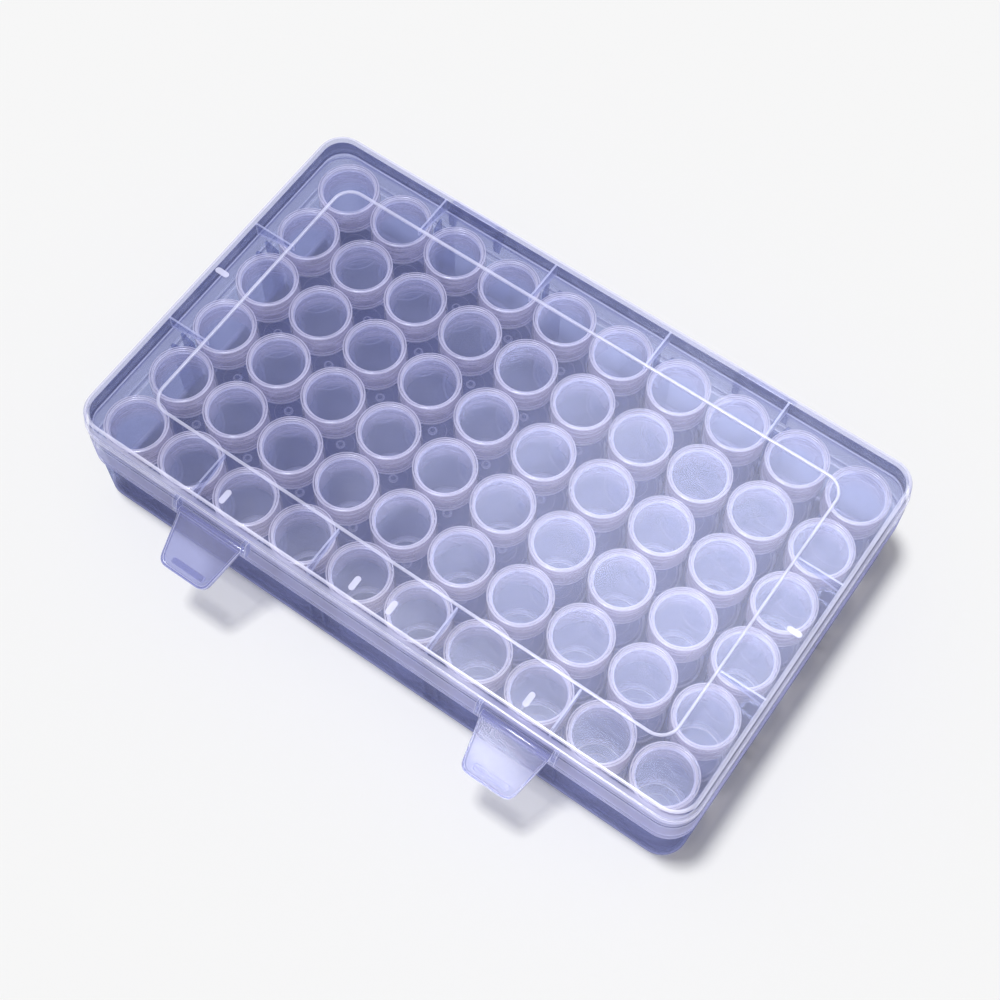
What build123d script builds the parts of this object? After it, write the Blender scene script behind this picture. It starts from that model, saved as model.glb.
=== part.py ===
"""Flip-top craft organizer: a clear hinged case with two swing latches, packed with sixty screw-cap jars.

Millimetres. +X runs along the long side, +Y points to the hinge side, +Z is up.
The origin is the middle of the underside, on the surface that the case stands on.
"""
from build123d import *
import os
from math import cos, radians, sin, tan

# ---------------------------------------------------------------- jars and caps
columns = 10            # jars along X
rows = 6                # jars along Y
cap_gap = 1.0           # free gap between neighbouring caps
cap_wall = 1.15
cap_height = 11.5
cap_plate = 1.1         # thickness of the cap's disc
cap_rim_width = 1.5     # raised ring round the top of a cap
cap_rim_height = 0.7
thread_clearance = 0.15  # radial gap between a jar's neck and its cap
neck_drop = 0.1         # gap between a jar's mouth and the cap's ceiling
jar_body_diameter = 23.4
jar_neck_step = 0.5     # how far the neck stands in from the body
jar_wall = 1.2
jar_floor = 1.2
jar_shoulder_below_cap = 1.0
jar_height = 39.4

# ---------------------------------------------------------------- case
floor_thickness = 2.2
foot_edge_radius = 0.8
shelf_below_cap = 2.0   # the cavity widens here
end_clearance = 1.95    # caps to the end walls
side_clearance = 0.4    # caps to the long walls
rim_wall = 1.5
lower_wall = 1.6
wall_draft = 1.0        # degrees
band_step = 0.9         # how far the upper band stands out from the rim
lower_inset = 0.2       # top of the lower wall inside the rim's outline
band_bottom = 27.0
band_top = 40.5
groove_height = 1.6
groove_depth = 0.5
groove_above_band_bottom = 2.6
case_rim_top = 45.2
corner_radius = 10.5
foot_corner_radius = 8.5

# hollow posts that stand between the jars along the walls
post_spacing = 2        # in jar pitches
post_root_width = 7.0
post_tip_width = 4.8
post_reach = 7.2        # from the outer jars' centre line to the post's tip
post_wall = 1.1
post_top = 38.0

# ---------------------------------------------------------------- lid
seam_gap = 0.4
lid_height = 9.8        # from the lower edge of the lid to its top face
lid_plate = 1.8
lid_wall = 1.6
lid_outset = 0.2        # lid outline beyond the rim outline
lid_edge_radius = 1.4
bead_height = 3.2       # thicker edge round the mouth of the lid
frame_inset_x = 20.4    # from the lid outline to the raised frame on the top
frame_inset_y = 20.4
frame_width = 1.6
frame_height = 0.7
frame_radius = 7.5
gusset_thickness = 0.8
gusset_inner_depth = 2.4
gusset_outer_depth = 7.0
pad_length = 6.0
pad_width = 2.4
pad_height = 0.5
pad_from_edge = 3.4
pad_columns_x = (-66.0, -8.0, 8.0, 66.0)

# ---------------------------------------------------------------- lid hinges, at the back
hinge_x = 66.5          # from the middle to each hinge
hinge_barrel_length = 18.0
hinge_ear_thickness = 3.0
hinge_side_gap = 0.3
hinge_radius = 2.2
hinge_pin_radius = 1.1
hinge_bore_radius = 1.2
hinge_axis_out = 2.6    # behind the band
hinge_axis_z = 43.5
hinge_ear_foot = 7.0    # how far down the band an ear is rooted
hinge_web_top = 0.6     # the web that carries a barrel, where it meets the top of the bead

# ---------------------------------------------------------------- latches, at the front
latch_x = 67.3          # from the middle to each latch
latch_top_width = 29.0
latch_bottom_width = 21.0
latch_length = 20.5
latch_thickness = 1.6
latch_corner_radius = 3.5
latch_flange_depth = 0.9   # raised edge round the outer face
latch_flange_width = 1.1
latch_barrel_radius = 1.3
latch_pin_radius = 0.8
latch_bore_radius = 0.9
latch_ear_radius = 1.8
latch_ear_thickness = 2.0
latch_side_gap = 0.3
latch_axis_out = 2.1    # in front of the lid's bead
latch_axis_z = 42.5
latch_face_gap = 0.35   # closed latch to the band
hook_length = 15.0
hook_height = 2.4
hook_clearance = 0.35   # under the band
latch_rest_angle = 67.0  # how far the latches are swung out from closed

# ---------------------------------------------------------------- for joining and cutting
weld = 0.3              # how far an added feature runs into the wall it joins
beyond = 1.0            # how far a cut runs past the face it opens

# ---------------------------------------------------------------- what follows from these
jar_radius = jar_body_diameter / 2
neck_radius = jar_radius - jar_neck_step
cap_inner = neck_radius + thread_clearance
cap_radius = cap_inner + cap_wall
jar_pitch = 2 * cap_radius + cap_gap
jar_bottom = floor_thickness
jar_top = jar_bottom + jar_height
cap_ceiling = jar_top + neck_drop
cap_top = cap_ceiling + cap_plate + cap_rim_height
cap_bottom = cap_top - cap_height
last_x = (columns - 1) * jar_pitch / 2
last_y = (rows - 1) * jar_pitch / 2
rim_in = (last_x + cap_radius + end_clearance, last_y + cap_radius + side_clearance)


def grown(half, extra):
    """Half sizes of an outline moved outward by extra."""
    return half[0] + extra, half[1] + extra


rim_out = grown(rim_in, rim_wall)
band_out = grown(rim_out, band_step)
lower_top_out = grown(rim_out, -lower_inset)
lid_out = grown(rim_out, lid_outset)
bead_out = band_out
lid_bottom = case_rim_top + seam_gap
lid_top = lid_bottom + lid_height
bead_top = lid_bottom + bead_height
hinge_axis_y = band_out[1] + hinge_axis_out
latch_axis_y = -(bead_out[1] + latch_axis_out)


def rounded_block(half, radius, low, high, draft=0.0):
    """Upright block with rounded corners whose lower outline is half; draft widens it upward."""
    outline = RectangleRounded(2 * half[0], 2 * half[1], radius)
    return extrude(Pos(0, 0, low) * outline, amount=high - low, taper=-draft)


def draft_growth(height):
    """How far a drafted wall leans out over a height."""
    return height * tan(radians(wall_draft))


def wall_stations(count):
    """Places along a wall, between the jars, where posts and gussets stand."""
    steps = range(-count // 2, count // 2 + 1)
    return [step * jar_pitch for step in steps if step % post_spacing == 1 and abs(step) < count / 2]


def on_both_sides(stations_x, stations_y, half):
    """Locations on the four walls; local +Y points outward through the wall."""
    places = [Location((x, half[1], 0), (0, 0, 0)) for x in stations_x]
    places += [Location((x, -half[1], 0), (0, 0, 180)) for x in stations_x]
    places += [Location((half[0], y, 0), (0, 0, -90)) for y in stations_y]
    places += [Location((-half[0], y, 0), (0, 0, 90)) for y in stations_y]
    return places


stations_x = wall_stations(columns)
stations_y = wall_stations(rows)


def post(reach_in):
    """Hollow post against a wall; its root is at local y = 0 and its tip at y = -reach_in."""
    root = post_root_width / 2
    tip = post_tip_width / 2
    outline = Polyline((-root, beyond), (-tip, -reach_in), (tip, -reach_in), (root, beyond), close=True)
    body = extrude(Pos(0, 0, jar_bottom - weld) * make_face(outline), post_top - jar_bottom + weld)
    hole = Polyline(
        (-root + post_wall, 0), (-tip + post_wall, post_wall - reach_in),
        (tip - post_wall, post_wall - reach_in), (root - post_wall, 0), close=True)
    pocket = extrude(Pos(0, 0, jar_bottom) * make_face(hole), post_top)
    return body - pocket


def disc_along_x(radius, length, x, y, z):
    """Cylinder along X, centred on the point."""
    return Pos(x, y, z) * Rot(0, 90, 0) * Cylinder(radius, length)


def make_base_tray():
    lower_out = grown(lower_top_out, -draft_growth(band_bottom))
    shelf = cap_bottom - shelf_below_cap
    tray = rounded_block(lower_out, foot_corner_radius, 0, band_bottom + beyond, wall_draft)
    tray = fillet(tray.faces().sort_by(Axis.Z)[0].edges(), foot_edge_radius)
    tray += rounded_block(band_out, corner_radius, band_bottom, band_top)
    tray += rounded_block(rim_out, corner_radius, band_top, case_rim_top)
    # groove above the lower edge of the band
    groove_low = band_bottom + groove_above_band_bottom
    groove_high = groove_low + groove_height
    ring = rounded_block(grown(band_out, beyond), corner_radius + beyond, groove_low, groove_high)
    ring -= rounded_block(grown(band_out, -groove_depth), corner_radius - groove_depth,
                          groove_low - beyond, groove_high + beyond)
    tray -= ring
    # inside
    cavity_foot = grown(lower_out, -lower_wall)
    cavity_radius = foot_corner_radius - lower_wall
    cavity = rounded_block(cavity_foot, cavity_radius, jar_bottom, shelf + beyond, wall_draft)
    cavity += rounded_block(rim_in, corner_radius - rim_wall, shelf, case_rim_top + beyond)
    tray -= cavity
    # posts between the jars
    tip_line = (last_x + post_reach, last_y + post_reach)
    reach = (cavity_foot[0] - tip_line[0], cavity_foot[1] - tip_line[1])
    for place in on_both_sides(stations_x, [], cavity_foot):
        tray += place * post(reach[1])
    for place in on_both_sides([], stations_y, cavity_foot):
        tray += place * post(reach[0])
    # hinge ears
    for side in (-1, 1):
        for end in (-1, 1):
            ear_middle = hinge_barrel_length / 2 + hinge_side_gap + hinge_ear_thickness / 2
            x = side * hinge_x + end * ear_middle
            tray += hinge_ear(x)
            bore_length = hinge_ear_thickness + beyond
            tray -= disc_along_x(hinge_bore_radius, bore_length, x, hinge_axis_y, hinge_axis_z)
    return tray


def hinge_ear(x):
    """Ear rooted in the band that carries the lid's pivot."""
    root_y = band_out[1] - weld
    touch = hinge_radius * cos(radians(45))
    arm = Polyline(
        (root_y, band_top - hinge_ear_foot), (hinge_axis_y + touch, hinge_axis_z - touch),
        (hinge_axis_y, hinge_axis_z), (hinge_axis_y - hinge_radius, hinge_axis_z),
        (hinge_axis_y - hinge_radius, band_top), (root_y, band_top), close=True)
    plate = extrude(Plane.YZ * make_face(arm), hinge_ear_thickness)
    plate = Pos(x - hinge_ear_thickness / 2, 0, 0) * plate
    return plate + disc_along_x(hinge_radius, hinge_ear_thickness, x, hinge_axis_y, hinge_axis_z)


def gusset():
    """Upright web under the lid, deep at the wall and shallow at the frame; local y = 0 is the wall."""
    top = lid_top - lid_plate + weld
    inward = frame_inset_x - lid_wall
    web = Polyline(
        (weld, top), (-inward, top), (-inward, top - gusset_inner_depth),
        (weld, top - gusset_outer_depth), close=True)
    return Pos(-gusset_thickness / 2, 0, 0) * extrude(Plane.YZ * make_face(web), gusset_thickness)


def make_lid():
    shell = rounded_block(lid_out, corner_radius, lid_bottom + weld, lid_top)
    shell = fillet(shell.faces().sort_by(Axis.Z)[-1].edges(), lid_edge_radius)
    shell += rounded_block(bead_out, corner_radius, lid_bottom, bead_top)
    shell -= rounded_block(grown(lid_out, -lid_wall), corner_radius - lid_wall,
                           lid_bottom - beyond, lid_top - lid_plate)
    # raised frame on the top
    frame_half = (lid_out[0] - frame_inset_x, lid_out[1] - frame_inset_y)
    frame = rounded_block(grown(frame_half, frame_width / 2), frame_radius,
                          lid_top - weld, lid_top + frame_height)
    frame -= rounded_block(grown(frame_half, -frame_width / 2), frame_radius - frame_width,
                           lid_top - beyond, lid_top + frame_height + beyond)
    shell += frame
    # gussets from the frame to the wall, between the jars
    for place in on_both_sides(stations_x, stations_y, grown(lid_out, -lid_wall)):
        shell += place * gusset()
    # small raised pads along the front edge and in the middle of both ends
    pad = extrude(SlotOverall(pad_length, pad_width), amount=pad_height + weld)
    pad_middle = pad_from_edge + pad_length / 2
    for x in pad_columns_x:
        shell += Pos(x, pad_middle - lid_out[1], lid_top - weld) * Rot(0, 0, 90) * pad
    for end in (-1, 1):
        shell += Pos(end * (lid_out[0] - pad_middle), 0, lid_top - weld) * pad
    for side in (-1, 1):
        shell += lid_barrel(side * hinge_x)
        for end in (-1, 1):
            ear_middle = latch_top_width / 2 + latch_side_gap + latch_ear_thickness / 2
            x = side * latch_x + end * ear_middle
            shell += latch_ear(x)
            bore_length = latch_ear_thickness + beyond
            shell -= disc_along_x(latch_bore_radius, bore_length, x, latch_axis_y, latch_axis_z)
    return shell


def lid_barrel(x):
    """Barrel with a stub pin at each end, carried on a web behind the lid's bead."""
    pin_length = hinge_barrel_length + 2 * (hinge_side_gap + hinge_ear_thickness)
    barrel = disc_along_x(hinge_radius, hinge_barrel_length, x, hinge_axis_y, hinge_axis_z)
    pins = disc_along_x(hinge_pin_radius, pin_length, x, hinge_axis_y, hinge_axis_z)
    root_y = bead_out[1] - weld
    touch_y = hinge_axis_y + hinge_radius * cos(radians(30))
    touch_z = hinge_axis_z + hinge_radius * sin(radians(30))
    web = Polyline(
        (root_y, lid_bottom + weld), (root_y, bead_top), (bead_out[1] + hinge_web_top, bead_top),
        (touch_y, touch_z), (hinge_axis_y - hinge_radius / 2, hinge_axis_z), close=True)
    plate = Pos(x - hinge_barrel_length / 2, 0, 0) * extrude(Plane.YZ * make_face(web), hinge_barrel_length)
    return barrel + pins + plate


def latch_ear(x):
    """Small ear that hangs from the front of the bead and holds one end of a latch."""
    root_y = weld - bead_out[1]
    arm = Polyline(
        (root_y, lid_bottom + weld), (latch_axis_y + latch_ear_radius, latch_axis_z),
        (latch_axis_y - latch_ear_radius, latch_axis_z), (latch_axis_y, bead_top - weld),
        (root_y, bead_top - weld), close=True)
    plate = Pos(x - latch_ear_thickness / 2, 0, 0) * extrude(Plane.YZ * make_face(arm), latch_ear_thickness)
    return plate + disc_along_x(latch_ear_radius, latch_ear_thickness, x, latch_axis_y, latch_axis_z)


def make_latch(x):
    """Latch drawn closed, hanging from its barrel, then swung out to its rest angle."""
    tab_inner_y = -(band_out[1] + latch_face_gap) - latch_axis_y
    lower_gap = band_out[1] + latch_face_gap - lower_top_out[1]
    tip_z = -latch_length
    top = latch_top_width / 2
    low = latch_bottom_width / 2
    outline = Polyline((-top, 0), (-low, tip_z), (low, tip_z), (top, 0), close=True)
    tab_face = make_face(outline)
    tab_face = fillet(tab_face.vertices().sort_by(Axis.Y)[:2], latch_corner_radius)
    front = Plane(origin=(0, tab_inner_y, 0), x_dir=(1, 0, 0), z_dir=(0, -1, 0))
    plate = extrude(front * tab_face, latch_thickness)
    # raised edge round the outer face
    inner_face = offset(tab_face, -latch_flange_width)
    flange = extrude(front * (tab_face - inner_face), latch_thickness + latch_flange_depth)
    # catch bar that goes under the band
    band_reach = latch_axis_z - band_bottom + hook_clearance
    hook_depth = lower_gap - hook_clearance + weld
    hook = Pos(0, tab_inner_y - weld, -band_reach) * Box(
        hook_length, hook_depth, hook_height, align=(Align.CENTER, Align.MIN, Align.MAX))
    barrel = disc_along_x(latch_barrel_radius, latch_top_width, 0, 0, 0)
    pin_length = latch_top_width + 2 * (latch_side_gap + latch_ear_thickness)
    pins = disc_along_x(latch_pin_radius, pin_length, 0, 0, 0)
    latch = plate + flange + hook + barrel + pins
    return Pos(x, latch_axis_y, latch_axis_z) * Rot(-latch_rest_angle, 0, 0) * latch


def revolved(points):
    """Turn a closed (radius, height) outline about Z."""
    outline = Polyline(*[(radius, 0, height) for radius, height in points], close=True)
    return revolve(make_face(outline), Axis.Z)


def make_jar():
    inner = neck_radius - jar_wall
    shoulder = cap_bottom - jar_shoulder_below_cap
    return revolved([
        (0, jar_bottom), (jar_radius, jar_bottom), (jar_radius, shoulder - jar_neck_step),
        (neck_radius, shoulder), (neck_radius, jar_top), (inner, jar_top),
        (inner, jar_bottom + jar_floor), (0, jar_bottom + jar_floor)])


def make_cap():
    dish = cap_radius - cap_rim_width
    dish_z = cap_top - cap_rim_height
    return revolved([
        (0, cap_ceiling), (cap_inner, cap_ceiling), (cap_inner, cap_bottom), (cap_radius, cap_bottom),
        (cap_radius, cap_top), (dish, cap_top), (dish, dish_z), (0, dish_z)])


def row_locations(row):
    """Centres of one row of jars; row 0 is at the front."""
    y = row * jar_pitch - last_y
    return [Location((column * jar_pitch - last_x, y, 0)) for column in range(columns)]


os.makedirs("parts", exist_ok=True)
nodes = {
    "base_tray": make_base_tray(),
    "lid": make_lid(),
    "latch_left": make_latch(-latch_x),
    "latch_right": make_latch(latch_x),
}
jar = make_jar()
cap = make_cap()
# the front row stands as single pieces, the rows behind it as one node of jars and one of caps each
for number, place in enumerate(row_locations(0), start=1):
    nodes[f"jar_{number}"] = place * jar
    nodes[f"cap_{number}"] = place * cap
for row in range(1, rows):
    nodes[f"jars_row_{row + 1}"] = Compound([place * jar for place in row_locations(row)])
    nodes[f"caps_row_{row + 1}"] = Compound([place * cap for place in row_locations(row)])
for name, shape in nodes.items():
    export_step(shape, f"parts/{name}.step")
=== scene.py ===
"""Clear flip-top organizer with sixty screw-cap jars, dressed for rendering.

Lengths are in millimetres until a mesh is made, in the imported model's frame: +X right, +Y to the
hinges, +Z up.
"""
import math

import bpy
from mathutils import Matrix, Vector


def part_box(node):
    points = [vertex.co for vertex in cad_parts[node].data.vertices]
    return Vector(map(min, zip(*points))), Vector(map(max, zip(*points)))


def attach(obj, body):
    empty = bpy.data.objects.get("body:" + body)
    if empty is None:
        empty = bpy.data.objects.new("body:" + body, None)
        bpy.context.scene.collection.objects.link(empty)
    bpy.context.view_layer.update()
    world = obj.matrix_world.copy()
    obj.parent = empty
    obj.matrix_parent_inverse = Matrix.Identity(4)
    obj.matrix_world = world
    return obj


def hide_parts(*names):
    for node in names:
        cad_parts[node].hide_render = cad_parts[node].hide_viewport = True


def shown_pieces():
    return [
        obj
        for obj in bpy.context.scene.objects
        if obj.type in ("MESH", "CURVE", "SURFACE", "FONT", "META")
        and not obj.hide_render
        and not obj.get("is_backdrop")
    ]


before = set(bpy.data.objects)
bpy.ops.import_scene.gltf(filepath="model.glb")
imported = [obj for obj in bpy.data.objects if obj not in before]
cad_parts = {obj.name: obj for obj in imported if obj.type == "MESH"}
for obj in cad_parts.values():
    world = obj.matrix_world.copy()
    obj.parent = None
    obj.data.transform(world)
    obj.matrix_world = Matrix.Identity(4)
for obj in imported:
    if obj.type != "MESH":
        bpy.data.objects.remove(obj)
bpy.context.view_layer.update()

MM = 0.001

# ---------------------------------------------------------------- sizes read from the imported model
def box_mm(node):
    low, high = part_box(node)
    return Vector(low) / MM, Vector(high) / MM


cap_low, cap_high = box_mm("cap_1")
jar_low, jar_high = box_mm("jar_1")
tray_low, tray_high = box_mm("base_tray")
lid_high = box_mm("lid")[1]
columns = 10
rows = 6
cap_radius = (cap_high.x - cap_low.x) / 2
jar_pitch = box_mm("cap_2")[0].x - cap_low.x
first_x = (cap_high.x + cap_low.x) / 2
first_y = (cap_high.y + cap_low.y) / 2

# ---------------------------------------------------------------- case and lid
band_half = (tray_high.x, -tray_low.y)      # outline of the case's band and of the lid's bead
root_depth = 0.3                            # how far ears and barrels start inside the band's face
band_step = 0.9
rim_half = (band_half[0] - band_step, band_half[1] - band_step)
corner_radius = 10.5
rim_wall = 1.5
lower_wall = 1.6
floor_top = 2.2
wall_lean = 0.47                            # how far the lower wall leans out over its height
wall_inset = 0.2                            # top of the lower wall, inside the rim's outline
foot_radius = 1.0
band_bottom = 27.0
band_top = 40.5
groove_low = 29.6
groove_high = 31.2
groove_depth = 0.5
shelf_z = 30.0
rim_top = 45.2
lid_bottom = 45.6
bead_top = 48.8
frame_height = 0.7
lid_top = lid_high.z - frame_height
lid_plate = 1.8
far_in = -40                                # steers a path's end roundings, and is dropped from it
lid_wall = 1.6
lid_edge_radius = 1.4
lid_outset = 0.2                            # lid outline beyond the rim outline
frame_inset = 20.4
frame_width = 1.2
frame_radius = 7.5
gusset_thickness = 0.8
gusset_inner_depth = 2.4
gusset_outer_depth = 7.0
pad_size = (6.0, 2.4, 0.5)
pad_from_edge = 3.4
pad_columns_x = (-66.0, -8.0, 8.0, 66.0)
post_root = 3.5
post_tip = 2.4
post_reach = 7.2
post_wall = 1.1
post_top = 38.0
post_overlap = 0.4                          # how far a post's root goes into the wall

# ---------------------------------------------------------------- hinges and latches
hinge_x = 66.5
hinge_axis = Vector((0, 82.9, 43.5))
hinge_barrel_length = 18.0
hinge_ear_thickness = 3.0
hinge_side_gap = 0.3
hinge_radius = 2.2
hinge_pin_radius = 1.1
latch_x = 67.3
latch_axis = Vector((0, -82.4, 42.5))
latch_top_width = 29.0
latch_bottom_width = 21.0
latch_length = 20.5
latch_thickness = 1.6
latch_inner_y = 1.75                        # inner face of a closed latch, behind its axis
latch_rest_angle = math.radians(67)
latch_ear_radius = 1.8
latch_ear_thickness = 2.0
hook_size = (15.0, 1.3, 2.4)
hook_drop = 15.85
latch_pin_radius = 0.8
latch_barrel_radius = 1.3
latch_pin_length = latch_top_width + 4.6
latch_neck = 6.0                            # from the barrel to where the sides start to slant
rib_width = 1.1
rib_height = 0.9
ear_gap = 0.3

# ---------------------------------------------------------------- jars and caps
jar_radius = (jar_high.x - jar_low.x) / 2
jar_lift = 0.06                             # just clear of the tray's floor
jar_wall = 1.2
neck_radius = 11.2
neck_core = 10.75                           # neck between its threads
thread_pitch = 3.0
thread_turns = 2.4
ridge_half_width = 0.27                     # of the thread's ridge, as a part of the pitch
cap_inner = 11.35
cap_rim_width = 1.5
cap_rim_height = 0.7
cap_plate = 1.1
cap_thread_drops = (3.2, 5.8)               # thread lines inside a cap, below its ceiling
cap_thread_half = 0.2
column_turn = 37                            # degrees, so that no two neighbours face the same way
row_turn = 71
segments = 48
barrel_segments = 24
sharp_angle = math.radians(35)


# ---------------------------------------------------------------- mesh helpers
def soften(corners, steps=3):
    """Round the corners of a path of (u, v, radius) points.

    Gives (u, v, edge) points, with edge 1 along a rounding.
    """
    path = []
    for number, (u, v, radius) in enumerate(corners):
        corner = Vector((u, v))
        if radius == 0 or number in (0, len(corners) - 1):
            path.append((u, v, 0))
            continue
        before = Vector(corners[number - 1][:2]) - corner
        after = Vector(corners[number + 1][:2]) - corner
        reach = min(radius, before.length * 0.48, after.length * 0.48)
        start = corner + before.normalized() * reach
        end = corner + after.normalized() * reach
        for step in range(steps + 1):
            t = step / steps
            point = start * (1 - t) ** 2 + corner * 2 * t * (1 - t) + end * t ** 2
            path.append((point.x, point.y, int(step < steps)))
    return path


def build(name, shape, materials, body, node):
    """Make one object from a shape, tie it to a body and let it stand for a node."""
    mesh = bpy.data.meshes.new(name)
    mesh.from_pydata([vertex * MM for vertex in shape.vertices], [], shape.faces)
    for material in materials:
        mesh.materials.append(material)
    mesh.polygons.foreach_set("material_index", shape.kinds)
    mesh.shade_smooth()
    mesh.set_sharp_from_angle(angle=sharp_angle)
    piece = bpy.data.objects.new(name, mesh)
    bpy.context.scene.collection.objects.link(piece)
    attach(piece, body)
    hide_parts(node)


class Shape:
    """Vertices and faces that are collected before they become one mesh; a face's kind is its material."""

    def __init__(self):
        self.vertices = []
        self.faces = []
        self.kinds = []

    def rings(self, rings, edges=None, loop=False, end_kind=0):
        """Skin between rings of points; the ends are filled, or joined to each other.

        edges gives each band's kind, and end_kind that of the filled ends.
        """
        first = len(self.vertices)
        size = len(rings[0])
        for ring in rings:
            self.vertices.extend(Vector(point) for point in ring)
        count = len(rings)
        for row in range(count if loop else count - 1):
            below = first + row * size
            above = first + (row + 1) % count * size
            for step in range(size):
                follow = (step + 1) % size
                self.faces.append((below + step, below + follow, above + follow, above + step))
                self.kinds.append(edges[row] if edges else 0)
        if not loop:
            last = first + (count - 1) * size
            self.faces.append(tuple(reversed(range(first, first + size))))
            self.faces.append(tuple(range(last, last + size)))
            self.kinds += [end_kind, end_kind]

    def placed(self, matrix):
        """A copy moved by a matrix."""
        copy = Shape()
        copy.vertices = [matrix @ vertex for vertex in self.vertices]
        copy.faces = list(self.faces)
        copy.kinds = list(self.kinds)
        return copy

    def add(self, other, kind=None):
        """Take in another shape, all in one kind if that is given."""
        first = len(self.vertices)
        self.vertices.extend(other.vertices)
        self.faces.extend(tuple(first + index for index in face) for face in other.faces)
        self.kinds.extend(other.kinds if kind is None else [kind] * len(other.faces))


def rounded_outline(half, radius, steps=8):
    """Counter-clockwise outline of a rectangle with round corners."""
    points = []
    for corner, (side_x, side_y) in enumerate(((1, 1), (-1, 1), (-1, -1), (1, -1))):
        for step in range(steps + 1):
            angle = math.radians(90) * (corner + step / steps)
            x = side_x * (half[0] - radius) + radius * math.cos(angle)
            y = side_y * (half[1] - radius) + radius * math.sin(angle)
            points.append((x, y))
    return points


def swept(half, radius, path, loop=False, end_kind=0):
    """Skin along a path of (outset, height, edge) round a rounded rectangle."""
    shape = Shape()
    rings = []
    for outset, height, _ in path:
        grown = (half[0] + outset, half[1] + outset)
        rings.append([(x, y, height) for x, y in rounded_outline(grown, radius + outset)])
    shape.rings(rings, [edge for _, _, edge in path], loop, end_kind)
    return shape


def prism(outline, low, high, edge=0.2, side_kind=0):
    """Upright block on an outline with softened upper and lower edges."""
    middle = sum((Vector(point) for point in outline), Vector((0, 0))) / len(outline)
    spread = max((Vector(point) - middle).length for point in outline)
    small = 1 - edge / spread
    shape = Shape()
    rings = []
    for scale, height in ((small, low), (1, low + edge), (1, high - edge), (small, high)):
        rings.append([(*(middle + (Vector(point) - middle) * scale), height) for point in outline])
    shape.rings(rings, (1, side_kind, 1, 0))
    return shape


def turned(path, count=segments):
    """Skin of a path of (radius, height, edge) turned about Z; both ends lie on the axis."""
    shape = Shape()
    rings = []
    for radius, height, _ in path:
        reach = max(radius, 0.02)
        angles = [math.tau * step / count for step in range(count)]
        rings.append([(reach * math.cos(angle), reach * math.sin(angle), height) for angle in angles])
    shape.rings(rings, [edge for _, _, edge in path])
    return shape


def barrel_along_x(radius, length, centre, edge=0.25):
    half = length / 2
    path = soften([(0, -half, 0), (radius, -half, edge), (radius, half, edge), (0, half, 0)])
    lying = Matrix.Rotation(math.radians(90), 4, "Y")
    return turned(path, barrel_segments).placed(Matrix.Translation(centre) @ lying)


def plate_across_x(outline, thickness, x, side_kind=0):
    """Plate in the YZ plane, centred on x."""
    shape = prism(outline, -thickness / 2, thickness / 2, 0.15, side_kind)
    # local X becomes world Y, local Y becomes world Z, local Z becomes world X
    turn = Matrix(((0, 0, 1, x), (1, 0, 0, 0), (0, 1, 0, 0), (0, 0, 0, 1)))
    return shape.placed(turn)


def wall_places(count):
    """Places along a pair of opposite walls where posts and gussets stand."""
    steps = range(-count // 2, count // 2 + 1)
    return [step * jar_pitch for step in steps if step % 2 == 1 and abs(step) < count / 2]


def on_walls(half):
    """Matrices on the four walls; local +Y points outward through the wall."""
    places = []
    for x in wall_places(columns):
        places.append(Matrix.Translation((x, half[1], 0)))
        places.append(Matrix.Translation((x, -half[1], 0)) @ Matrix.Rotation(math.pi, 4, "Z"))
    for y in wall_places(rows):
        places.append(Matrix.Translation((half[0], y, 0)) @ Matrix.Rotation(-math.pi / 2, 4, "Z"))
        places.append(Matrix.Translation((-half[0], y, 0)) @ Matrix.Rotation(math.pi / 2, 4, "Z"))
    return places


# ---------------------------------------------------------------- materials
cloud_scale = 45
cloud_depth = 0.3                           # how far the milk varies about its mean
ripple_scale = 90
ripple_strength = 0.15
ripple_height = 0.0003                      # metres
plastic_ior = 1.49


def add_node(tree, kind, **values):
    """New node; values are for its inputs, named as in Blender with _ for a space."""
    node = tree.nodes.new(kind)
    for socket, value in values.items():
        node.inputs[socket.replace("_", " ")].default_value = value
    return node


def multiply(tree, first, second):
    node = tree.nodes.new("ShaderNodeMath")
    node.operation = "MULTIPLY"
    node.use_clamp = True
    tree.links.new(first, node.inputs[0])
    tree.links.new(second, node.inputs[1])
    return node.outputs["Value"]


def mix_shaders(tree, factor, first, second):
    """Mix of two shaders, by a number or by another node's output."""
    node = tree.nodes.new("ShaderNodeMixShader")
    if isinstance(factor, float):
        node.inputs["Fac"].default_value = factor
    else:
        tree.links.new(factor, node.inputs["Fac"])
    tree.links.new(first, node.inputs[1])
    tree.links.new(second, node.inputs[2])
    return node.outputs["Shader"]


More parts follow.
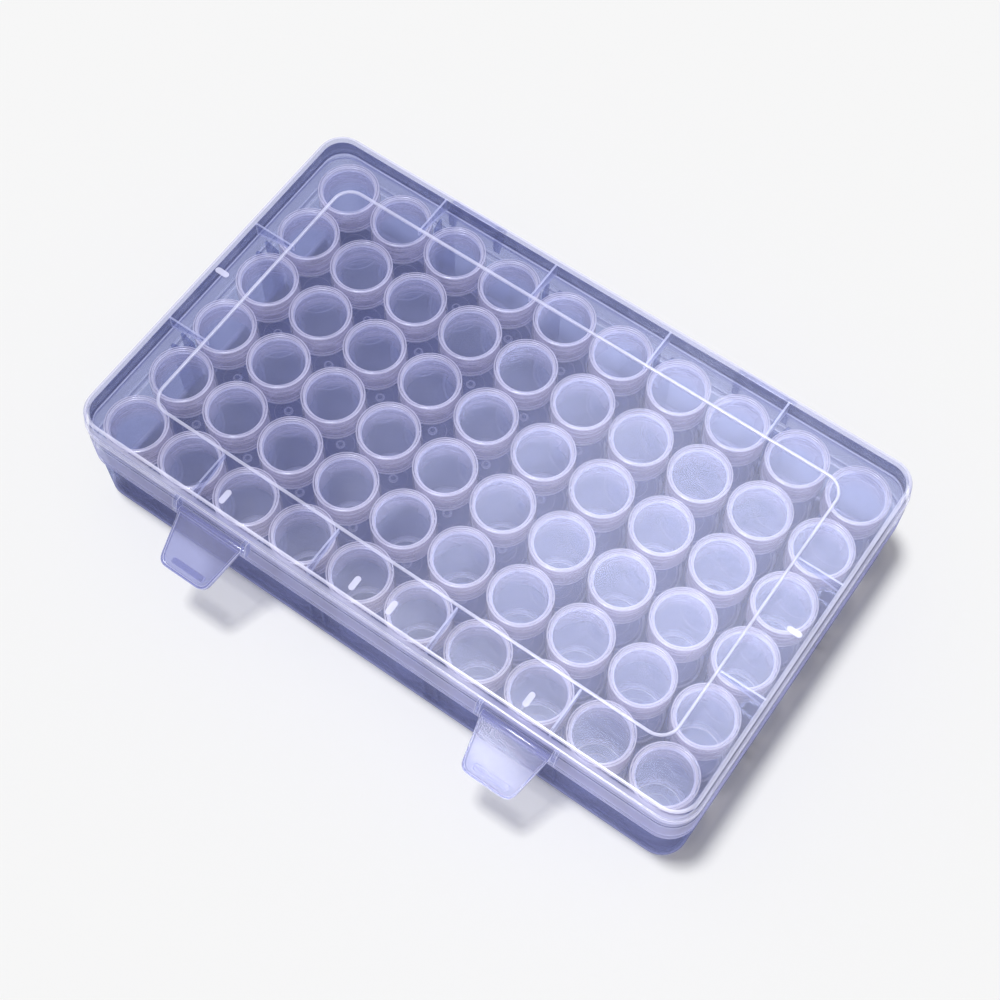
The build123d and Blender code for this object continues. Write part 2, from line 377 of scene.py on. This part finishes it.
def clear_plastic(name, tint, milk, edge_milk, milk_colour, roughness, shade_tint=None,
                  painted_shade_tint=None):
    """Clear moulded plastic: tinted see-through, with more milk where a wall is seen along its length; a
    painted_shade_tint paints a dark shade on the faces that look at the viewer.
    """
    material = bpy.data.materials.new(name)
    material.use_nodes = True
    tree = material.node_tree
    tree.nodes.clear()
    link = tree.links.new
    place = add_node(tree, "ShaderNodeTexCoord").outputs["Object"]
    # slow clouds from the mould, for the milk and the gloss
    cloud = add_node(tree, "ShaderNodeTexNoise", Scale=cloud_scale, Detail=1)
    link(place, cloud.inputs["Vector"])
    slant = add_node(tree, "ShaderNodeLayerWeight", Blend=0.5).outputs["Facing"]
    amount = add_node(tree, "ShaderNodeMapRange", From_Min=0.05, To_Min=milk, To_Max=edge_milk)
    amount.interpolation_type = "SMOOTHSTEP"
    link(slant, amount.inputs["Value"])
    uneven = add_node(tree, "ShaderNodeMapRange", To_Min=1 - cloud_depth, To_Max=1 + cloud_depth)
    link(cloud.outputs["Fac"], uneven.inputs["Value"])
    amount_here = multiply(tree, amount.outputs["Result"], uneven.outputs["Result"])
    # fine ripple of the moulded face
    ripple = add_node(tree, "ShaderNodeTexNoise", Scale=ripple_scale, Detail=0)
    link(place, ripple.inputs["Vector"])
    bump = add_node(tree, "ShaderNodeBump", Strength=ripple_strength, Distance=ripple_height)
    link(ripple.outputs["Fac"], bump.inputs["Height"])
    side = add_node(tree, "ShaderNodeNewGeometry").outputs["Backfacing"]
    if painted_shade_tint:
        # painted shade: a face that looks at the viewer takes the dark painted_shade_tint, for the dark band
        # where the inside of a wall is seen; a face seen from behind keeps the plain tint
        near, far, share = painted_shade_tint, tint, side
    else:
        # the way through a slanted wall is longer, so its tint is deeper
        near, far, share = tint, [band ** 3 for band in tint], slant
    tinted = tree.nodes.new("ShaderNodeMix")
    tinted.data_type = "RGBA"
    tinted.inputs["A"].default_value = (*near, 1)
    tinted.inputs["B"].default_value = (*far, 1)
    link(share, tinted.inputs["Factor"])
    through = add_node(tree, "ShaderNodeBsdfTransparent")
    link(tinted.outputs["Result"], through.inputs["Color"])
    milky = add_node(tree, "ShaderNodeBsdfDiffuse", Color=(*milk_colour, 1)).outputs["BSDF"]
    glow = add_node(tree, "ShaderNodeBsdfTranslucent", Color=(*milk_colour, 1)).outputs["BSDF"]
    both = mix_shaders(tree, 0.5, milky, glow)
    body = mix_shaders(tree, amount_here, through.outputs["BSDF"], both)
    # gloss on the outer side of each face only
    gloss = add_node(tree, "ShaderNodeBsdfGlossy")
    rough = add_node(tree, "ShaderNodeMapRange", To_Min=roughness * 0.6, To_Max=roughness * 1.4)
    link(cloud.outputs["Fac"], rough.inputs["Value"])
    link(rough.outputs["Result"], gloss.inputs["Roughness"])
    link(bump.outputs["Normal"], gloss.inputs["Normal"])
    fresnel = add_node(tree, "ShaderNodeFresnel", IOR=plastic_ior)
    link(bump.outputs["Normal"], fresnel.inputs["Normal"])
    outer = add_node(tree, "ShaderNodeMapRange", To_Min=1.0, To_Max=0.0)
    link(side, outer.inputs["Value"])
    shine = multiply(tree, fresnel.outputs["Fac"], outer.outputs["Result"])
    surface = mix_shaders(tree, shine, body, gloss.outputs["BSDF"])
    # light that falls through meets a plain tint
    passed = shade_tint or [band * (1 - milk) for band in tint]
    shade = add_node(tree, "ShaderNodeBsdfTransparent", Color=(*passed, 1))
    ray = add_node(tree, "ShaderNodeLightPath")
    lit = mix_shaders(tree, ray.outputs["Is Shadow Ray"], surface, shade.outputs["BSDF"])
    output = add_node(tree, "ShaderNodeOutputMaterial")
    link(lit, output.inputs["Surface"])
    return material


# each: name, tint, milk seen face on, milk seen along the wall, the milk's colour, roughness,
# and the tint of the light that falls through
case_shade = (0.54, 0.52, 0.50)
case_plastic = clear_plastic("clear_case", (0.82, 0.84, 0.92), 0.03, 0.20, (0.46, 0.48, 0.72), 0.12,
                             case_shade)
# painted highlight: the near-white milk of each _edge_highlight material stands in for light gleaming on
# roundings, ribs, pads and thread crests. This one is for the tray's roundings and hinge ears
case_edge_highlight = clear_plastic("clear_case_painted_highlight", (0.88, 0.89, 0.96), 0.34, 0.52, (0.80, 0.80, 0.96), 0.12)
# painted shade: the tray's floor takes a deeper tint than its walls, which darkens the gaps between the jars
floor_painted_shade = clear_plastic("clear_case_floor_painted_shade", (0.66, 0.68, 0.80), 0.03, 0.12, (0.42, 0.45, 0.72), 0.15,
                             case_shade)
band_plastic = clear_plastic("clear_band", (0.86, 0.87, 0.94), 0.12, 0.44, (0.74, 0.73, 0.92), 0.12,
                             case_shade)
# painted shade: where the skirt's inner face looks at the viewer it takes a dark blue tint, for the dark band
# along the lid's edge
skirt_painted_shade = clear_plastic("clear_lid_skirt_painted_shade", (0.92, 0.93, 0.96), 0.02, 0.08, (0.40, 0.43, 0.66), 0.15,
                              painted_shade_tint=(0.16, 0.18, 0.32))
lid_plastic = clear_plastic("clear_lid", (0.92, 0.93, 0.97), 0.02, 0.20, (0.50, 0.53, 0.82), 0.28)
# painted highlight on the lid's roundings, frame crest, pads and gussets
lid_edge_highlight = clear_plastic("clear_lid_painted_highlight", (0.97, 0.97, 0.99), 0.46, 0.62, (0.92, 0.91, 1.0), 0.12)
latch_plastic = clear_plastic("clear_latch", (0.63, 0.65, 0.81), 0.17, 0.40, (0.74, 0.75, 0.96), 0.12,
                              (0.8, 0.8, 0.82))
# painted highlight on the latches' bevels, barrels, rib crests and hooks
latch_edge_highlight = clear_plastic("clear_latch_painted_highlight", (0.95, 0.96, 0.99), 0.45, 0.65, (0.92, 0.92, 1.0), 0.12)
jar_plastic = clear_plastic("clear_jar", (0.945, 0.95, 0.98), 0.035, 0.22, (0.69, 0.715, 0.92), 0.15)
neck_plastic = clear_plastic("milky_jar_neck", (0.95, 0.95, 0.98), 0.05, 0.40, (0.95, 0.88, 0.93), 0.18)
# painted highlight on the jars' roundings and thread crests
jar_edge_highlight = clear_plastic("clear_jar_painted_highlight", (0.97, 0.97, 0.985), 0.50, 0.66, (0.96, 0.92, 0.97), 0.15)
cap_plastic = clear_plastic("clear_cap", (0.95, 0.955, 0.98), 0.07, 0.24, (0.73, 0.76, 0.92), 0.18)
rim_plastic = clear_plastic("milky_cap_rim", (0.97, 0.97, 0.985), 0.10, 0.36, (0.98, 0.89, 0.92), 0.2)
# painted highlight on the caps' roundings and thread lines
cap_edge_highlight = clear_plastic("clear_cap_painted_highlight", (0.98, 0.98, 0.99), 0.50, 0.66, (1.0, 0.94, 0.96), 0.15)


# ---------------------------------------------------------------- case
def make_tray():
    low = -wall_inset - wall_lean
    inner_low = low - lower_wall
    inner_high = -wall_inset - lower_wall
    groove_floor = band_step - groove_depth
    path = soften([
        (far_in, floor_top, 0), (inner_low, floor_top, 1.2), (inner_high, shelf_z, 0.2),
        (-rim_wall, shelf_z, 0.1), (-rim_wall, rim_top, 0.3), (0, rim_top, 0.3), (0, band_top, 0.3),
        (band_step, band_top, 0.3), (band_step, groove_high, 0.2), (groove_floor, groove_high, 0.2),
        (groove_floor, groove_low, 0.2), (band_step, groove_low, 0.2),
        (band_step, band_bottom, 0.5), (-wall_inset, band_bottom, 0.3), (low, 0, foot_radius),
        (far_in, 0, 0)])
    # the outer faces above the band's foot are kind 3; the floor is kind 2, with its painted shade; the
    # roundings are kind 1, with a painted highlight
    path = [(u, v, 3 if edge == 0 and u > -0.1 and v > band_bottom else edge) for u, v, edge in path]
    shape = swept(rim_half, corner_radius, [point for point in path if point[0] > far_in], end_kind=2)
    inner_foot = (rim_half[0] + inner_low, rim_half[1] + inner_low)
    for place in on_walls(inner_foot):
        along_long_wall = abs(place.translation.y) > abs(inner_foot[1]) - 1
        last = first_y if along_long_wall else first_x
        limit = inner_foot[1] if along_long_wall else inner_foot[0]
        shape.add(make_post(limit - abs(last) - post_reach).placed(place))
    for side in (-1, 1):
        for end in (-1, 1):
            shift = hinge_barrel_length / 2 + hinge_side_gap + hinge_ear_thickness / 2
            shape.add(hinge_ear(side * hinge_x + end * shift))
    build("case_tray", shape, [case_plastic, case_edge_highlight, floor_painted_shade, band_plastic],
          "base", "base_tray")


def make_post(reach):
    """Hollow post against a wall, as a bent wall round its pocket."""
    outline = [
        (-post_root, post_overlap), (-post_tip, -reach), (post_tip, -reach), (post_root, post_overlap),
        (post_root - post_wall, post_overlap), (post_tip - post_wall * 0.8, post_wall - reach),
        (post_wall * 0.8 - post_tip, post_wall - reach), (post_wall - post_root, post_overlap)]
    shape = Shape()
    shape.rings([[(x, y, height) for x, y in reversed(outline)] for height in (floor_top, post_top)])
    shape.faces = [tuple(reversed(face)) for face in shape.faces]
    return shape


def arc(centre, radius, first_angle, count):
    """Points (y, z) round a centre, 22.5 degrees apart."""
    angles = [math.radians(first_angle + 22.5 * step) for step in range(count)]
    return [(centre.y + radius * math.cos(angle), centre.z + radius * math.sin(angle)) for angle in angles]


def hinge_ear(x):
    """Ear rooted in the band, round at the pivot."""
    root_y = band_half[1] - root_depth
    root_height = 7
    points = [(root_y, band_top), (root_y, band_top - root_height)]
    points += arc(hinge_axis, hinge_radius, -45, 11)
    points.append((hinge_axis.y - hinge_radius, band_top))
    return plate_across_x(points, hinge_ear_thickness, x)


# ---------------------------------------------------------------- lid
def make_lid():
    inner = -lid_wall
    bead = band_step - lid_outset
    ceiling = lid_top - lid_plate
    path = soften([
        (far_in, ceiling, 0), (inner, ceiling, 0.5), (inner, bead_top, 0), (inner, lid_bottom, 0.3),
        (bead, lid_bottom, 0.5), (bead, bead_top, 0.4), (0, bead_top, 0.3), (0, lid_top, lid_edge_radius),
        (far_in, lid_top, 0)], 4)
    # the inside of the skirt is kind 2, with a dark painted shade, its outside 3; the round top edge has its
    # painted highlight only at its upper end
    for number, (u, v, edge) in enumerate(path):
        if abs(u - inner) < 0.01 and v > lid_bottom + 1.5:
            path[number] = (u, v, 2)
        elif u > -0.1 and edge == 0 and v < lid_top - 1.5:
            path[number] = (u, v, 3)
        elif edge and lid_top - 1.5 < v < lid_top - 0.35:
            path[number] = (u, v, 0)
    lid_half = (rim_half[0] + lid_outset, rim_half[1] + lid_outset)
    shape = swept(lid_half, corner_radius, [point for point in path if point[0] > far_in])
    # raised frame on the top, with a painted highlight on its crest (kind 1)
    frame_half = (lid_half[0] - frame_inset, lid_half[1] - frame_inset)
    half_width = frame_width / 2
    foot = lid_top - 0.1
    crest = lid_top + frame_height
    section = soften([
        (0, foot, 0), (half_width, foot, 0), (half_width, crest, 0.5), (-half_width, crest, 0.5),
        (-half_width, foot, 0), (-0.01, foot, 0)])
    section = [(u, v, int(v > lid_top + 0.15)) for u, v, _ in section]
    shape.add(swept(frame_half, frame_radius, section, loop=True))
    for place in on_walls((lid_half[0] - lid_wall, lid_half[1] - lid_wall)):
        shape.add(make_gusset().placed(place))
    # pads on the top, all kind 1: a painted highlight stands in for their glare
    length, width, height = pad_size
    pad_middle = pad_from_edge + length / 2
    pad_outline = rounded_outline((length / 2, width / 2), width / 2 - 0.01, 5)
    pad = prism(pad_outline, foot, lid_top + height, 0.2)
    for x in pad_columns_x:
        turn = Matrix.Translation((x, pad_middle - lid_half[1], 0)) @ Matrix.Rotation(math.pi / 2, 4, "Z")
        shape.add(pad.placed(turn), 1)
    for end in (-1, 1):
        shape.add(pad.placed(Matrix.Translation((end * (lid_half[0] - pad_middle), 0, 0))), 1)
    for side in (-1, 1):
        shape.add(lid_barrel(side * hinge_x))
        for end in (-1, 1):
            shift = latch_top_width / 2 + ear_gap + latch_ear_thickness / 2
            shape.add(latch_ear(side * latch_x + end * shift))
    build("case_lid", shape, [lid_plastic, lid_edge_highlight, skirt_painted_shade, band_plastic],
          "lid", "lid")


def make_gusset():
    top = lid_top - lid_plate
    inward = frame_inset - lid_wall
    outline = [(0, top), (-inward, top), (-inward, top - gusset_inner_depth), (0, top - gusset_outer_depth)]
    # the plate's sides and bevels are kind 1, with the lid's painted highlight
    return plate_across_x(outline, gusset_thickness, 0, 1)


def lid_barrel(x):
    pin_length = hinge_barrel_length + 2 * (hinge_side_gap + hinge_ear_thickness)
    centre = Vector((x, hinge_axis.y, hinge_axis.z))
    shape = barrel_along_x(hinge_radius, hinge_barrel_length, centre)
    shape.add(barrel_along_x(hinge_pin_radius, pin_length, centre))
    root_y = band_half[1] - root_depth
    web = [
        (root_y, lid_bottom + 0.3), (hinge_axis.y - hinge_radius / 2, hinge_axis.z),
        (hinge_axis.y + hinge_radius * 0.87, hinge_axis.z + hinge_radius / 2),
        (band_half[1] + 0.6, bead_top), (root_y, bead_top)]
    shape.add(plate_across_x(web, hinge_barrel_length, x))
    return shape


def latch_ear(x):
    root_y = root_depth - band_half[1]
    points = [(root_y, bead_top - 0.3), (latch_axis.y, bead_top - 0.3)]
    points += arc(latch_axis, latch_ear_radius, 180, 9)
    points.append((root_y, lid_bottom + 0.3))
    return plate_across_x(points, latch_ear_thickness, x)


# ---------------------------------------------------------------- latches
def make_latch(name, node, body, x):
    """Latch drawn closed, hanging from its barrel, then swung out to its rest angle."""
    top = latch_top_width / 2
    low = latch_bottom_width / 2
    waist = top - 1.2
    corners = [
        (0, 0, 0), (-top, 0, 0), (-waist, -latch_neck, 3), (-low, -latch_length, 3.5),
        (low, -latch_length, 3.5), (waist, -latch_neck, 3), (top, 0, 0), (0.01, 0, 0)]
    outline = [point[:2] for point in soften(corners, 5)]
    # local X stays, local Y becomes height, local Z points out of the front
    upright = Matrix(((1, 0, 0, 0), (0, 0, -1, latch_inner_y), (0, 1, 0, 0), (0, 0, 0, 1)))
    shape = prism(outline, 0, latch_thickness, 0.25).placed(upright)
    middle = Vector((0, -latch_length / 2))
    shape.add(raised_edge(outline, middle).placed(upright))
    length, depth, height = hook_size
    hook = prism(rounded_outline((length / 2, height / 2), 0.8, 4), -depth, 0.2, 0.4, 1)
    shape.add(hook.placed(upright @ Matrix.Translation((0, -hook_drop - height / 2, 0))))
    shape.add(barrel_along_x(latch_barrel_radius, latch_top_width, Vector((0, 0, 0))))
    shape.add(barrel_along_x(latch_pin_radius, latch_pin_length, Vector((0, 0, 0)), 0.15))
    swing = Matrix.Translation((x, latch_axis.y, latch_axis.z)) @ Matrix.Rotation(-latch_rest_angle, 4, "X")
    shape = shape.placed(swing)
    # kind 1 (bevels, barrel ends, the rib's crest edges and the hook) has a painted highlight
    build(name, shape, [latch_plastic, latch_edge_highlight], body, node)


def raised_edge(outline, middle):
    """Low rib round the outer face of a latch."""
    shape = Shape()
    rings = []
    bevel = 0.2
    foot = latch_thickness - 0.3
    crest = latch_thickness + rib_height
    section = (
        (0, foot), (0, crest - bevel), (bevel, crest), (rib_width - bevel, crest),
        (rib_width, crest - bevel), (rib_width, foot))
    for inset, height in section:
        ring = []
        for point in outline:
            arm = Vector(point) - middle
            scale_x = 1 - inset / (latch_top_width / 2)
            scale_y = 1 - inset / (latch_length / 2)
            ring.append((middle.x + arm.x * scale_x, middle.y + arm.y * scale_y, height))
        rings.append(ring)
    shape.rings(rings, (0, 1, 0, 1, 0, 0), loop=True)
    return shape


# ---------------------------------------------------------------- jars and caps
def thread_bump(turn, z, start, size):
    """Height of a helical ridge at a place on a neck; turn is the angle as a part of one."""
    along = (z - start) / thread_pitch - turn
    if along < 0 or along > thread_turns:
        return 0.0
    phase = along % 1.0
    fade = min(1.0, along * 4, (thread_turns - along) * 4)
    from_crest = abs(phase - 0.5)
    if from_crest >= ridge_half_width:
        return 0.0
    return size * fade * max(0.0, math.cos(from_crest * math.tau * 0.9)) ** 1.5


def threaded(path, start, size):
    """Turned skin of (radius, height, kind); a band of kind 2 carries a thread, with kind 1, a painted
    highlight, on its crest.
    """
    shape = Shape()
    rings = []
    for radius, height, kind in path:
        ring = []
        for step in range(segments):
            turn = step / segments
            bump = thread_bump(turn, height, start, size) if kind == 2 else 0.0
            reach = max(radius, 0.02) + bump
            angle = math.tau * turn
            ring.append((reach * math.cos(angle), reach * math.sin(angle), height))
        rings.append(ring)
    shape.rings(rings, [kind for _, _, kind in path])
    crest = neck_core + size * 0.5
    for number, face in enumerate(shape.faces):
        if shape.kinds[number] == 2:
            middle = sum((shape.vertices[index] for index in face), Vector()) / len(face)
            shape.kinds[number] = 1 if middle.xy.length > crest else 3
    return shape


def jar_shape():
    bottom = jar_low.z + jar_lift
    top = jar_high.z
    shoulder = cap_low.z - 1.0
    inner = neck_radius - jar_wall
    thread_low = shoulder + 1.5
    thread_high = top - 0.8
    path = soften([
        (0, bottom, 0), (1.4, bottom, 0), (jar_radius - 0.1, bottom, 1.2), (jar_radius, shoulder - 0.5, 0.5),
        (neck_core, shoulder + 0.2, 0.3), (neck_core, thread_low, 0)], 4)
    count = 24
    for step in range(count):
        path.append((neck_core, thread_low + (thread_high - thread_low) * step / count, 2))
    floor = bottom + jar_wall
    neck = soften([
        (neck_core, thread_high, 0), (neck_core, top, 0.3), (inner, top, 0.3), (inner, shoulder, 0)], 4)
    path += [(u, v, edge or 3) for u, v, edge in neck]
    path += soften([
        (inner, shoulder - 0.5, 0), (inner - 0.3, floor, 0.5), (5.8, floor, 0), (5.6, floor + 0.15, 0.2),
        (5.4, floor, 0), (1.6, floor, 0.3), (1.2, floor + 0.5, 0.2), (0, floor + 0.5, 0)], 3)
    return threaded(path, shoulder + 1.8, neck_radius - neck_core)


def cap_shape():
    """Cap: a disc (kind 0) in a milky rim and skirt (kind 2), with painted highlights on its roundings and
    thread lines (kind 1).
    """
    bottom = cap_low.z
    top = cap_high.z
    dish = top - cap_rim_height
    ceiling = dish - cap_plate
    lip = cap_radius - cap_rim_width
    threads = []
    for drop in cap_thread_drops:
        threads += [
            (cap_inner, ceiling - drop + cap_thread_half, 0), (cap_inner - 0.1, ceiling - drop, 0.2),
            (cap_inner, ceiling - drop - cap_thread_half, 0)]
    path = soften([
        (0, ceiling, 0), (cap_inner - 1.2, ceiling, 0), (cap_inner - 1.0, ceiling - 0.25, 0.1),
        (cap_inner - 0.5, ceiling - 0.25, 0.1), (cap_inner, ceiling, 0.3), *threads, (cap_inner, bottom, 0.2),
        (cap_radius, bottom, 0.3), (cap_radius - 0.25, top, 0.45), (lip, top, 0.25), (lip - 0.2, dish, 0.25),
        (0, dish, 0)], 4)
    path = [(u, v, edge or 2 * (u > lip - 0.2 or v < ceiling)) for u, v, edge in path]
    return turned(path)


def place_jars():
    # on jars and caps, kind 1 carries the painted highlight
    jar = jar_shape()
    cap = cap_shape()
    for row in range(rows):
        for column in range(columns):
            number = column + 1
            spot = Vector((first_x + column * jar_pitch, first_y + row * jar_pitch, 0))
            angle = math.radians(column_turn * number + row_turn * row)
            turn = Matrix.Translation(spot) @ Matrix.Rotation(angle, 4, "Z")
            own = row == 0
            jar_node = f"jar_{number}" if own else f"jars_row_{row + 1}"
            cap_node = f"cap_{number}" if own else f"caps_row_{row + 1}"
            build(f"jar_r{row + 1}_c{number}", jar.placed(turn),
                  [jar_plastic, jar_edge_highlight, jar_plastic, neck_plastic],
                  jar_node if own else "base", jar_node)
            build(f"cap_r{row + 1}_c{number}", cap.placed(turn), [cap_plastic, cap_edge_highlight, rim_plastic],
                  cap_node if own else "base", cap_node)


make_tray()
make_lid()
make_latch("latch_left_tab", "latch_left", "latch_left", -latch_x)
make_latch("latch_right_tab", "latch_right", "latch_right", latch_x)
place_jars()


# ---------------------------------------------------------------- floor, light and camera
def make_floor():
    mesh = bpy.data.meshes.new("floor")
    reach = 4.0
    corners = [(-reach, -reach, 0), (reach, -reach, 0), (reach, reach, 0), (-reach, reach, 0)]
    mesh.from_pydata(corners, [], [(0, 1, 2, 3)])
    material = bpy.data.materials.new("pale_floor")
    material.use_nodes = True
    shader = material.node_tree.nodes["Principled BSDF"]
    shader.inputs["Base Color"].default_value = (0.9, 0.9, 0.9, 1)
    shader.inputs["Roughness"].default_value = 0.9
    shader.inputs["Specular IOR Level"].default_value = 0.0
    mesh.materials.append(material)
    floor = bpy.data.objects.new("floor", mesh)
    floor.location.z = -0.0002
    bpy.context.scene.collection.objects.link(floor)
    floor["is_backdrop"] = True


def add_sun(name, direction, strength, spread, colour):
    sun = bpy.data.lights.new(name, "SUN")
    sun.energy = strength
    sun.angle = math.radians(spread)
    sun.color = colour
    lamp = bpy.data.objects.new(name, sun)
    lamp.rotation_euler = Vector(direction).to_track_quat("Z", "Y").to_euler()
    bpy.context.scene.collection.objects.link(lamp)


def add_softbox(name, place, target, size, power, colour, lit, mirrored=True):
    """Area light in metres and watts for one collection; one that isn't mirrored leaves no glare."""
    softbox = bpy.data.lights.new(name, "AREA")
    softbox.energy = power
    softbox.shape = "RECTANGLE"
    softbox.size, softbox.size_y = size
    softbox.color = colour
    lamp = bpy.data.objects.new(name, softbox)
    lamp.location = place
    lamp.rotation_euler = (lamp.location - Vector(target)).to_track_quat("Z", "Y").to_euler()
    lamp.light_linking.receiver_collection = lit
    lamp.visible_glossy = mirrored
    bpy.context.scene.collection.objects.link(lamp)


def collect(name, pieces):
    collection = bpy.data.collections.new(name)
    for piece in pieces:
        collection.objects.link(piece)
    return collection


def make_light():
    world = bpy.data.worlds.new("studio")
    bpy.context.scene.world = world
    world.use_nodes = True
    tree = world.node_tree
    background = tree.nodes["Background"]
    background.inputs["Color"].default_value = (1.0, 1.0, 1.0, 1)
    background.inputs["Strength"].default_value = 0.23
    # past the floor's far edge the camera sees the same white as on the floor
    beyond = add_node(tree, "ShaderNodeBackground", Color=(0.995, 0.995, 1.0, 1), Strength=0.93)
    ray = add_node(tree, "ShaderNodeLightPath")
    seen = mix_shaders(tree, ray.outputs["Is Camera Ray"], background.outputs["Background"],
                       beyond.outputs["Background"])
    tree.links.new(seen, tree.nodes["World Output"].inputs["Surface"])
    # high and a little to the left: the soft shadow falls to the right and behind
    add_sun("overhead", (-0.15, -0.04, 1.0), 2.55, 9, (1.0, 1.0, 1.0))
    # softboxes for the object alone: one from the front that nothing mirrors, one above,
    lit = collect("lit_by_softboxes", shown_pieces())
    # and a small one for the latches only, because the lid would mirror it as a glare
    tabs = [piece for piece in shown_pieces() if piece.name.startswith("latch")]
    latches = collect("lit_by_latch_softbox", tabs)
    add_softbox("front_softbox", (0.20, -0.38, 0.19), (0.0, -0.05, 0.03), (0.2, 0.2), 2.0,
                (0.94, 0.94, 1.0), lit, False)
    add_softbox("latch_softbox", (-0.018, -0.35, 0.46), (0.067, -0.095, 0.04), (0.05, 0.022), 0.07,
                (0.97, 0.97, 1.0), latches)
    add_softbox("top_softbox", (0.04, 0.24, 0.534), (0.03, 0.15, 0), (0.36, 0.30), 3.2,
                (0.80, 0.83, 0.98), lit)


def make_camera():
    """Camera at the photograph's viewing angle: high, from the front right."""
    azimuth = math.radians(34.3)
    elevation = math.radians(64.0)
    roll = math.radians(1.0)
    data = bpy.data.cameras.new("camera")
    data.lens = 64.8
    data.sensor_width = 36.0
    data.clip_end = 20.0
    camera = bpy.data.objects.new("camera", data)
    turn = Matrix.Rotation(azimuth, 4, "Z") @ Matrix.Rotation(math.radians(90) - elevation, 4, "X")
    place = Matrix.Translation(Vector((173.4, -250.1, 633.0)) * MM)
    camera.matrix_world = place @ turn @ Matrix.Rotation(roll, 4, "Z")
    bpy.context.scene.collection.objects.link(camera)
    bpy.context.scene.camera = camera


make_floor()
make_light()
make_camera()
bpy.context.scene.view_settings.view_transform = "Standard"
# enough for the many clear walls that lie behind each other
cycles = bpy.context.scene.cycles
cycles.max_bounces = 4
cycles.diffuse_bounces = 1
cycles.glossy_bounces = 2
cycles.transparent_max_bounces = 64
